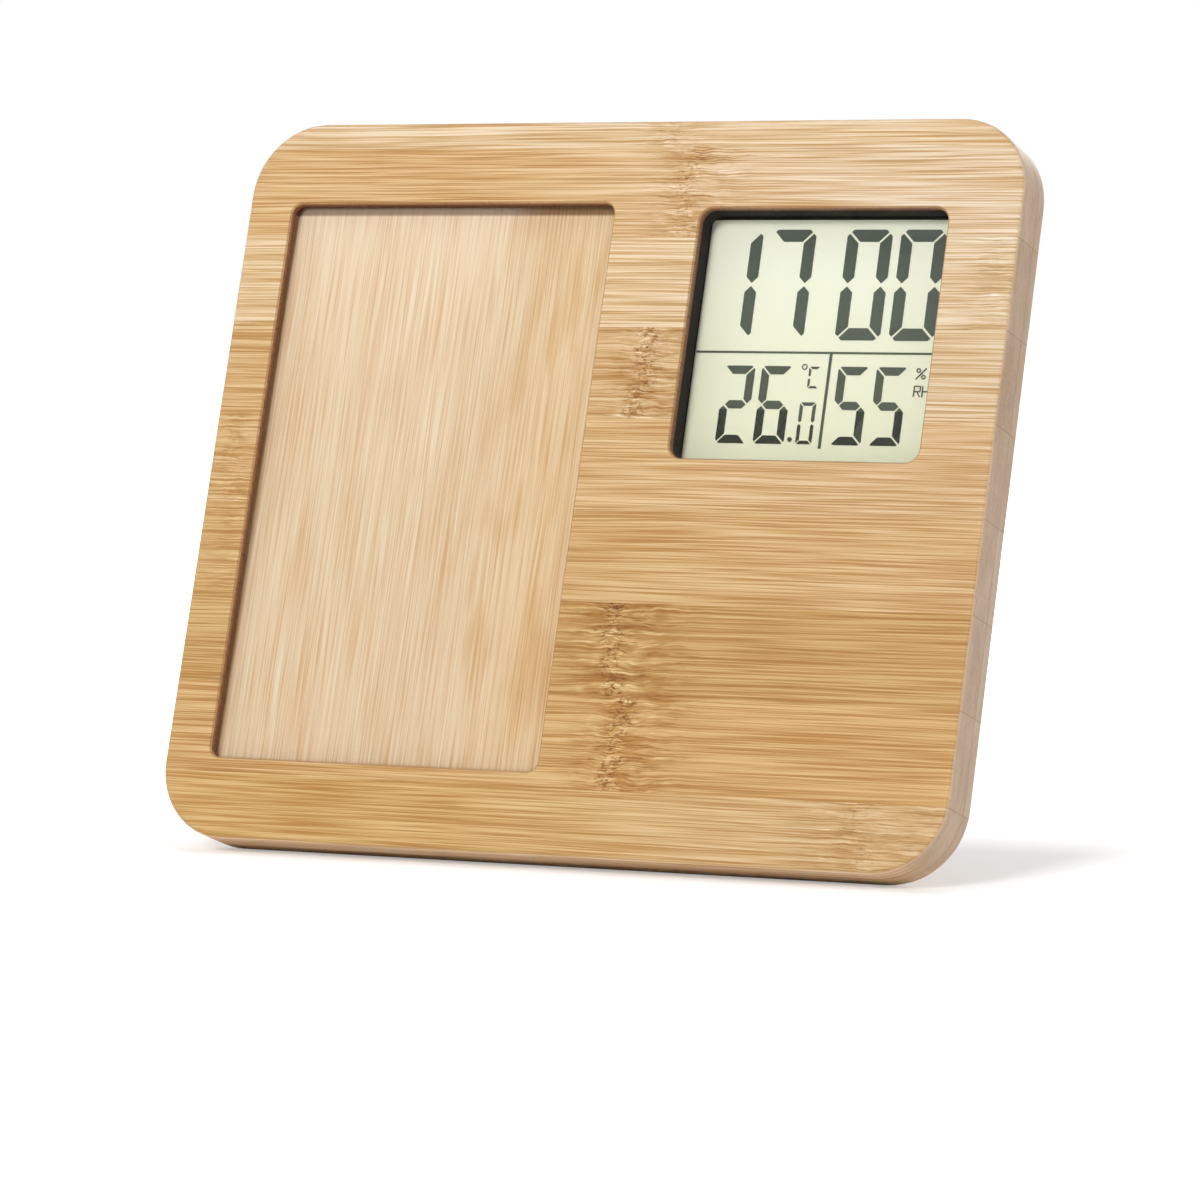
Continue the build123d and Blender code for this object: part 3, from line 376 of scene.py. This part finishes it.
def edge_bamboo(g, u, depth, v, outward):
    """Colour of the sanded edge: cut fibres at the sides, long fibres above and below, two glued layers."""
    cloud = g.grain(g.plus(u, v), depth, 2.0, 18.0, 5.0)
    lines = g.grain(g.plus(u, v), depth, 5.0, 4.0, 0.5, 3.0)
    pores = g.grain(g.plus(u, v), depth, 8.0, 0.8, 0.5)
    cut = g.mix(g.rise(cloud, -0.8, 0.8), srgb(221, 189, 157), srgb(232, 203, 174))
    cut = g.tint(g.times(g.rise(lines, 0.0, 1.0), 0.5), cut, (0.74, 0.68, 0.6))
    cut = g.tint(g.times(g.rise(pores, 0.3, 1.0), 0.5), cut, (0.7, 0.64, 0.56))
    # each strip ends in a tone of its own, other in the rear layer than in the front one
    place = strip_place(g, v)
    layer = g.rise(depth, FRONT_LAYER, FRONT_LAYER + 0.1)
    block = g.grain(g.calc("FLOOR", place), layer, 1.7, 0.4, 0.4, 0.0)
    cut = g.tint(g.rise(block, -0.5, 1.0), cut, (0.9, 0.86, 0.82))
    end = g.rise(g.calc("ABSOLUTE", g.plus(g.calc("FRACT", place), -0.5)), 0.485, 0.497)
    cut = g.tint(g.times(end, 0.5), cut, (0.66, 0.58, 0.5))
    # long fibres, with another seed below than above
    streak, fine = fibres(g, u, depth, g.plus(g.rise(v, 70.0, 71.0), 31.0))
    across, back, up = g.split(outward)
    # painted light: the underside is paler, standing for light thrown up by the white floor; the top is
    # darker
    long = g.mix(g.rise(up, -0.3, -0.8), srgb(212, 172, 124), srgb(242, 203, 158))
    long = g.tint(g.rise(up, 0.3, 0.8), long, (0.86, 0.8, 0.72))
    long = darken_and_lighten(g, long, streak)
    colour = g.mix(g.rise(g.calc("ABSOLUTE", across), 0.35, 0.75), long, cut)
    # the rear layer is paler, and a thin line of glue shows in front of it
    behind = g.rise(depth, FRONT_LAYER - 0.1, FRONT_LAYER + 0.1)
    colour = g.tint(behind, colour, (1.08, 1.12, 1.17))
    seam = g.rise(g.calc("ABSOLUTE", g.plus(depth, -FRONT_LAYER)), 0.22, 0.05)
    return g.tint(g.times(seam, 0.6), colour, (0.62, 0.54, 0.46))


def darkened_lip_walls(g, u, depth, v, colour):
    """The lip's walls inside the windows: dark brown, and darker towards the back."""
    inside = g.rise(g.within(u, v, (0.0, BOARD_WIDTH, 0.0, BOARD_HEIGHT)), 5.0, 6.0)
    brown = g.mix(g.rise(depth, 0.2, LIP), srgb(166, 116, 72), srgb(122, 72, 42))
    mottle = g.grain(g.plus(u, v), depth, 3.0, 0.7, 1.5)
    brown = g.tint(g.rise(mottle, -0.4, 0.8), brown, (0.7, 0.66, 0.62))
    return g.mix(g.times(inside, g.rise(depth, LIP + 0.2, LIP + 0.1)), colour, brown)


def board_material(name):
    """Varnished bamboo, level strips on the faces and cut fibres on the edge."""
    g = Graph(name)
    u, depth, v = g.on_board()
    colour, height = face_bamboo(g, u, v)
    outward = g.add("ShaderNodeNewGeometry").outputs["True Normal"]
    flat = g.calc("ABSOLUTE", g.dot(outward, FACE_NORMAL))
    edge = darkened_lip_walls(g, u, depth, v, edge_bamboo(g, u, depth, v, outward))
    colour = g.mix(g.rise(flat, 0.9, 0.55), colour, edge)
    rough = g.spread(height, -0.6, 0.6, 0.44, 0.58)
    varnish = {"Specular_IOR_Level": 0.35, "Coat_Weight": 0.04, "Coat_Roughness": 0.3}
    return g.finish(g.principled(colour, rough, g.bump(height, 0.05, 0.5), **varnish))


def leg_material():
    """Bamboo with its fibres along the leg."""
    g = Graph("leg_bamboo")
    steep = LEG_OPEN - LEAN
    along = g.times(g.dot(g.here(), (0, -math.sin(steep), math.cos(steep))), 1000)
    across = g.times(g.dot(g.here(), (1, math.cos(steep), math.sin(steep))), 1000)
    streak, fine = fibres(g, along, across, 21.0)
    colour = darken_and_lighten(g, srgb(212, 172, 120), streak)
    normal = g.bump(fine, 0.04, 0.5)
    return g.finish(g.principled(colour, 0.52, normal, Coat_Weight=0.08, Coat_Roughness=0.35))


def backing_material():
    """Pale board behind the pane: upright fibres, warmer and in short patches towards its right edge."""
    g = Graph("pale_bamboo")
    u, depth, v = g.on_board()
    bent = g.plus(u, g.times(g.grain(u, v, 4.0, 9.0, 90.0), 0.5))
    fine = g.grain(v, bent, 11.0, 26.0, 0.33, 1.0)
    middle = g.grain(v, bent, 12.0, 55.0, 0.95, 1.5)
    block = g.grain(bent, v, 13.0, 6.0, 40.0, 1.0)
    base = g.mix(g.rise(u, 58.0, 90.0), srgb(247, 216, 177), srgb(250, 214, 167))
    patch = g.grain(bent, v, 14.0, 6.0, 26.0, 1.5)
    base = g.tint(g.times(g.rise(patch, -0.1, 0.9), g.rise(u, 48.0, 72.0)), base, (0.92, 0.83, 0.71))
    streak = g.plus(g.times(fine, 0.74), g.times(middle, 0.28), g.times(block, 0.24))
    colour = darken_and_lighten(g, base, streak, (0.84, 0.68, 0.5), (1.1, 1.24, 1.46))
    # its front is painted darker round the rim as the lip's shade, more so and further in at the top, a
    # painted shadow under the top lip
    left, right, foot, top = BACKING
    beside = g.calc("MINIMUM", g.plus(u, -left), g.calc("SUBTRACT", right, u))
    front = g.rise(depth, 4.5, 4.0)
    rim_shade = g.rise(g.calc("MINIMUM", beside, g.plus(v, -foot)), 4.2, 3.3)
    colour = g.tint(g.times(rim_shade, front), colour, (0.72, 0.62, 0.52))
    # painted shadow that the top lip casts on the board
    top_lip_shadow = g.rise(g.calc("SUBTRACT", top, v), 5.0, 4.3)
    colour = g.tint(g.times(top_lip_shadow, front), colour, (0.36, 0.27, 0.18))
    return g.finish(g.principled(colour, 0.6, g.bump(fine, 0.03, 0.4)))


# Plastic, metal, glass and rubber
def moulded(name, colour, rough=0.5, grain=0.5, depth=0.02, gloss=0.5):
    """Moulded plastic with a fine spark-eroded texture; grain and depth are in millimetres."""
    g = Graph(name)
    fine = g.noise(g.here(), 1000 / grain, 3.0, 0.6)
    large = g.noise(g.here(), 60.0, 2.0, 0.5)
    tone = g.mix(large, srgb(*colour), srgb(*[part * 1.12 + 3 for part in colour]))
    rough = g.spread(fine, 0.3, 0.7, rough - 0.06, rough + 0.08)
    return g.finish(g.principled(tone, rough, g.bump(fine, depth, 0.5), Specular_IOR_Level=gloss))


def metal(name, colour, rough=0.3, stretch=(1.0, 0.08, 0.08)):
    """Plated or brushed metal with fine lines and small changes of tone."""
    g = Graph(name)
    mapping = g.add("ShaderNodeMapping")
    g.put(g.here(), mapping.inputs["Vector"])
    mapping.inputs["Scale"].default_value = stretch
    lines = g.noise(mapping.outputs[0], 2500.0, 3.0, 0.6)
    cloud = g.noise(g.here(), 150.0, 3.0, 0.6)
    tone = g.mix(g.rise(cloud, 0.3, 0.7), srgb(*[part * 0.84 for part in colour]), srgb(*colour))
    rough = g.spread(lines, 0.3, 0.7, rough - 0.07, rough + 0.12)
    return g.finish(g.principled(tone, rough, g.bump(lines, 0.015, 0.35), Metallic=1.0))


def clear_sheet(name, tone, gloss_power, rough):
    """Clear sheet: light passes straight through, and its front mirrors the room."""
    g = Graph(name)
    through = g.add("ShaderNodeBsdfTransparent")
    through.inputs[0].default_value = tone
    gloss = g.add("ShaderNodeBsdfGlossy")
    smear = g.noise(g.here(), 90.0, 3.0, 0.6)
    g.put(g.spread(smear, 0.3, 0.7, rough, rough * 1.8), gloss.inputs["Roughness"])
    fresnel = g.add("ShaderNodeFresnel")
    fresnel.inputs[0].default_value = 1.49
    outside = g.calc("SUBTRACT", 1.0, g.add("ShaderNodeNewGeometry").outputs["Backfacing"])
    share = g.calc("MULTIPLY", g.times(fresnel.outputs[0], outside), gloss_power, clamp=True)
    return g.finish(g.blend(share, through.outputs[0], gloss.outputs[0]))


def reflector_material():
    """Rear glass of the display: a pale reflector inside a black printed border."""
    g = Graph("reflector")
    u, depth, v = g.on_board()
    speck = g.noise(g.here(), 5000.0, 2.0, 0.6)
    cloud = g.noise(g.here(), 30.0, 2.0, 0.5)
    share = g.plus(g.spread(v, 88.0, 128.0, -0.1, 0.7), g.times(cloud, 0.3))
    colour = g.mix(share, srgb(240, 237, 206), srgb(253, 252, 234))
    colour = g.tint(g.times(speck, 0.1), colour, (0.8, 0.8, 0.78))
    border = g.rise(g.within(u, v, DISPLAY_FIELD), 0.06, -0.06)
    colour = g.mix(border, colour, srgb(20, 20, 18))
    return g.finish(g.principled(colour, 0.45, g.bump(speck, 0.01, 0.3)))


def segment_material():
    """Dark segments, a little paler towards the top of the display."""
    g = Graph("segment_ink")
    u, depth, v = g.on_board()
    speck = g.noise(g.here(), 4000.0, 2.0, 0.6)
    colour = g.mix(g.rise(v, 95.0, 130.0), srgb(64, 70, 50), srgb(64, 74, 60))
    colour = g.mix(g.times(speck, 0.15), colour, srgb(100, 106, 92))
    return g.finish(g.principled(colour, 0.5))


def circuit_material():
    """Green lacquered board with straight copper tracks under the lacquer."""
    g = Graph("circuit_green")
    u, depth, v = g.on_board()
    block = g.xyz(g.calc("FLOOR", g.times(u, 0.11)), g.calc("FLOOR", g.times(v, 0.13)))
    which = g.noise(block, 3.7, 0.0)
    upright = g.times(g.calc("GREATER_THAN", g.calc("FRACT", g.times(u, 0.55)), 0.72),
                      g.calc("GREATER_THAN", which, 0.5))
    level = g.times(g.calc("GREATER_THAN", g.calc("FRACT", g.times(v, 0.4)), 0.78),
                    g.calc("LESS_THAN", which, 0.5))
    tracks = g.plus(upright, level)
    colour = g.mix(tracks, srgb(24, 84, 44), srgb(52, 122, 66))
    fine = g.noise(g.here(), 900.0, 2.0, 0.5)
    rough = g.spread(fine, 0.0, 1.0, 0.25, 0.4)
    normal = g.bump(tracks, 0.02, 0.5)
    return g.finish(g.principled(colour, rough, normal, Coat_Weight=0.3, Coat_Roughness=0.15))


def sleeve_material():
    """Plain battery sleeve: dark, with a copper band at the positive end and bare metal ends."""
    g = Graph("battery_sleeve")
    x = g.times(g.split(g.here())[0], 1000)
    low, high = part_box("battery")
    start, end = low[0] * 1000, high[0] * 1000
    colour = g.mix(g.rise(x, start + 13.5, start + 13.9), srgb(176, 118, 62), srgb(38, 42, 46))
    bare = g.plus(g.rise(x, start + 1.9, start + 1.7), g.rise(x, end - 0.9, end - 0.6))
    colour = g.mix(bare, colour, srgb(190, 188, 182))
    scuff = g.noise(g.here(), 700.0, 3.0, 0.6)
    rough = g.spread(scuff, 0.3, 0.7, 0.22, 0.34)
    return g.finish(g.principled(colour, rough, g.bump(scuff, 0.01, 0.3), Metallic=0.6))


def rubber_material():
    """Black rubber with a rough, matt skin."""
    g = Graph("rubber")
    fine = g.noise(g.here(), 1500.0, 4.0, 0.7)
    colour = g.mix(fine, srgb(24, 24, 25), srgb(40, 40, 41))
    return g.finish(g.principled(colour, 0.8, g.bump(fine, 0.05, 0.6)))


def contact_strip_material():
    """Contact strips: thin dark conducting layers between soft pink ones."""
    g = Graph("elastomer")
    u, depth, v = g.on_board()
    stripe = g.calc("GREATER_THAN", g.calc("FRACT", g.times(u, 2.5)), 0.5)
    return g.finish(g.principled(g.mix(stripe, srgb(214, 150, 150), srgb(60, 50, 52)), 0.7))


dress("front_panel", board_material("bamboo"))
dress("rear_panel", board_material("bamboo_rear"))
dress("backing_board", backing_material())
dress("photo_pane", clear_sheet("acrylic", (0.97, 0.975, 0.97, 1), 1.9, 0.02))
dress("lcd_front_glass", clear_sheet("display_glass", (0.99, 1.0, 0.99, 1), 0.9, 0.1))
dress("lcd_segments", segment_material())
dress("lcd_rear_glass", reflector_material())
dress("elastomer_strips", contact_strip_material())
dress("circuit_board", circuit_material())
dress("controller_chip", moulded("chip_black", (16, 16, 17), 0.25, 2.5))
dress("tact_switches", moulded("switch_black", (24, 24, 26), 0.4))
dress("humidity_sensor", moulded("sensor_white", (222, 222, 216), 0.4))
dress("battery", sleeve_material())
dress("stand_leg", leg_material())
dress("leg_pad", rubber_material())

black = moulded("black_plastic", (30, 27, 26), 0.48)
for name in ("rear_cover", "battery_door"):
    dress(name, black)
dress("display_shell", moulded("tunnel_black", (20, 15, 14), 0.6, gloss=0.15))
grey = moulded("button_grey", (58, 58, 60), 0.42)
for i in range(1, 5):
    dress(f"button_{i}", grey)
    dress(f"switch_plunger_{i}", grey)
nickel = metal("nickel", (190, 188, 180), 0.25)
for name in ("positive_contact", "negative_contact"):
    dress(name, nickel)
steel = metal("steel", (186, 188, 190), 0.32)
for name in ("turn_button_screws", "cover_screws", "ear_screws", "hinge_pin", "quartz_crystal"):
    dress(name, steel)
zinc = metal("turn_plate", (178, 180, 182), 0.36, (0.1, 1.0, 1.0))
for corner in ("top_left", "top_right", "bottom_left", "bottom_right"):
    dress(f"turn_button_{corner}", zinc)
brass = metal("brass", (206, 164, 92), 0.3)
for name in ("fixed_hinge_leaf", "moving_hinge_leaf", "fixed_leaf_screws", "moving_leaf_screws", "sounder"):
    dress(name, brass)


# A white room: floor, far light and lamps
FAR_LIGHT = 0.27


def make_floor():
    """A white floor that keeps the object's shadow near it, deepened by a painted shadow where its glow is
    dimmed, and is plain white further away.
    """
    reach = 6.0
    corners = [(-reach, -reach, 0), (reach, -reach, 0), (reach, reach, 0), (-reach, reach, 0)]
    mesh = bpy.data.meshes.new("floor")
    mesh.from_pydata(corners, [], [(0, 1, 2, 3)])
    floor = bpy.data.objects.new("floor", mesh)
    scene.collection.objects.link(floor)
    g = Graph("floor_white")
    diffuse = g.add("ShaderNodeBsdfDiffuse")
    diffuse.inputs[0].default_value = (0.8, 0.8, 0.8, 1)
    x, y, z = g.split(g.here())
    # how far outside the object's footprint
    beside = g.calc("MAXIMUM", g.plus(g.calc("ABSOLUTE", x), -cad_high[0]), 0.0)
    before = g.calc("MAXIMUM", g.plus(g.calc("ABSOLUTE", y), -cad_high[1]), 0.0)
    away = g.calc("SQRT", g.plus(g.times(beside, beside), g.times(before, before)))
    glow = g.add("ShaderNodeEmission")
    path = g.add("ShaderNodeLightPath")
    # the glow is dimmed round the footprint as a painted shadow, which the camera sees fainter than the
    # object's underside does
    to_camera = path.outputs["Is Camera Ray"]
    # painted contact shadow: no glow at the footprint, rising further out
    hidden = g.spread(away, 0.0, 0.012, 0.0, 0.6)
    shown = g.spread(away, 0.0, 0.03, 0.36, 0.6)
    close = g.plus(g.times(hidden, g.calc("SUBTRACT", 1.0, to_camera)), g.times(shown, to_camera))
    g.put(g.plus(close, g.spread(away, 0.1, 0.6, 0.0, 0.45)), glow.inputs["Strength"])
    seen = g.calc("MAXIMUM", to_camera, path.outputs["Is Glossy Ray"])
    seen = g.calc("MAXIMUM", seen, path.outputs["Is Transmission Ray"])
    both = g.add("ShaderNodeAddShader")
    g.put(diffuse.outputs[0], both.inputs[0])
    g.put(glow.outputs[0], both.inputs[1])
    mesh.materials.append(g.finish(g.blend(seen, diffuse.outputs[0], both.outputs[0])))


def mirrored(u, v):
    """The direction in which the pane turns the camera's line of sight at u, v."""
    sight = (on_board(u, LIP, v) - CAMERA_PLACE).normalized()
    return sight - 2 * sight.dot(FACE_NORMAL) * FACE_NORMAL


def make_world():
    """White all round, with a dark flag that the pane mirrors in its right part and low down."""
    world = bpy.data.worlds.new("studio")
    scene.world = world
    g = Graph("studio", world)
    direction = g.add("ShaderNodeTexCoord").outputs["Generated"]
    # the flag's upright edge runs between these two places, as the pane shows it
    top = mirrored(66.9, 138.0)
    foot = mirrored(54.0, 68.0)
    edge = foot.cross(top).normalized()
    if edge.dot(mirrored(20.0, 100.0)) < 0:
        edge = -edge
    bright = g.rise(g.dot(direction, edge), -0.002, 0.003)
    # brighter upwards
    upward = (top - foot).normalized()
    height = g.spread(g.dot(direction, upward), upward.dot(foot), upward.dot(top), 0.15, 1.5)
    inner = g.plus(0.1, g.times(bright, height))
    # only what the pane mirrors is shaped so, the rest is plain white
    wide = math.cos(math.radians(40))
    narrow = math.cos(math.radians(25))
    near = g.rise(g.dot(direction, mirrored(50.0, 80.0)), wide, narrow)
    glossy = g.light(g.plus(g.calc("SUBTRACT", 1.0, near), g.times(near, inner)))
    path = g.add("ShaderNodeLightPath")
    seen = g.calc("MAXIMUM", path.outputs["Is Camera Ray"], path.outputs["Is Transmission Ray"])
    shader = g.blend(path.outputs["Is Glossy Ray"], g.light(FAR_LIGHT), glossy)
    g.finish(g.blend(seen, shader, g.light(1.0)))


def lamp(name, place, size, power, target=(0, 0, 0.07)):
    """A rectangular lamp that points at the object; metres and watts."""
    light = bpy.data.lights.new(name, "AREA")
    light.shape = "RECTANGLE"
    light.size, light.size_y = size
    light.energy = power
    holder = bpy.data.objects.new(name, light)
    holder.location = place
    holder.rotation_euler = (Vector(target) - Vector(place)).to_track_quat("-Z", "Y").to_euler()
    scene.collection.objects.link(holder)


make_floor()
make_world()
lamp("key", (-0.05, -1.6, 0.92), (0.44, 0.44), 16.0)
lamp("left", (-1.2, -0.6, 0.9), (0.7, 0.7), 2.6)
lamp("top", (0.0, -0.1, 1.4), (1.0, 0.8), 3.0)
lamp("right", (1.3, -0.5, 0.6), (0.5, 0.7), 2.2)
lamp("rear", (-0.3, 1.3, 0.7), (1.0, 0.8), 7.0)

camera = bpy.data.cameras.new("camera")
camera.sensor_width = 36
camera.lens = LENS
camera.clip_start = 0.05
camera.clip_end = 50
viewer = bpy.data.objects.new("camera", camera)
turn = Matrix((CAMERA_RIGHT, CAMERA_UP, CAMERA_BACK)).transposed().to_4x4()
viewer.matrix_world = Matrix.Translation(CAMERA_PLACE) @ turn
scene.collection.objects.link(viewer)
scene.camera = viewer
scene.view_settings.view_transform = "Standard"
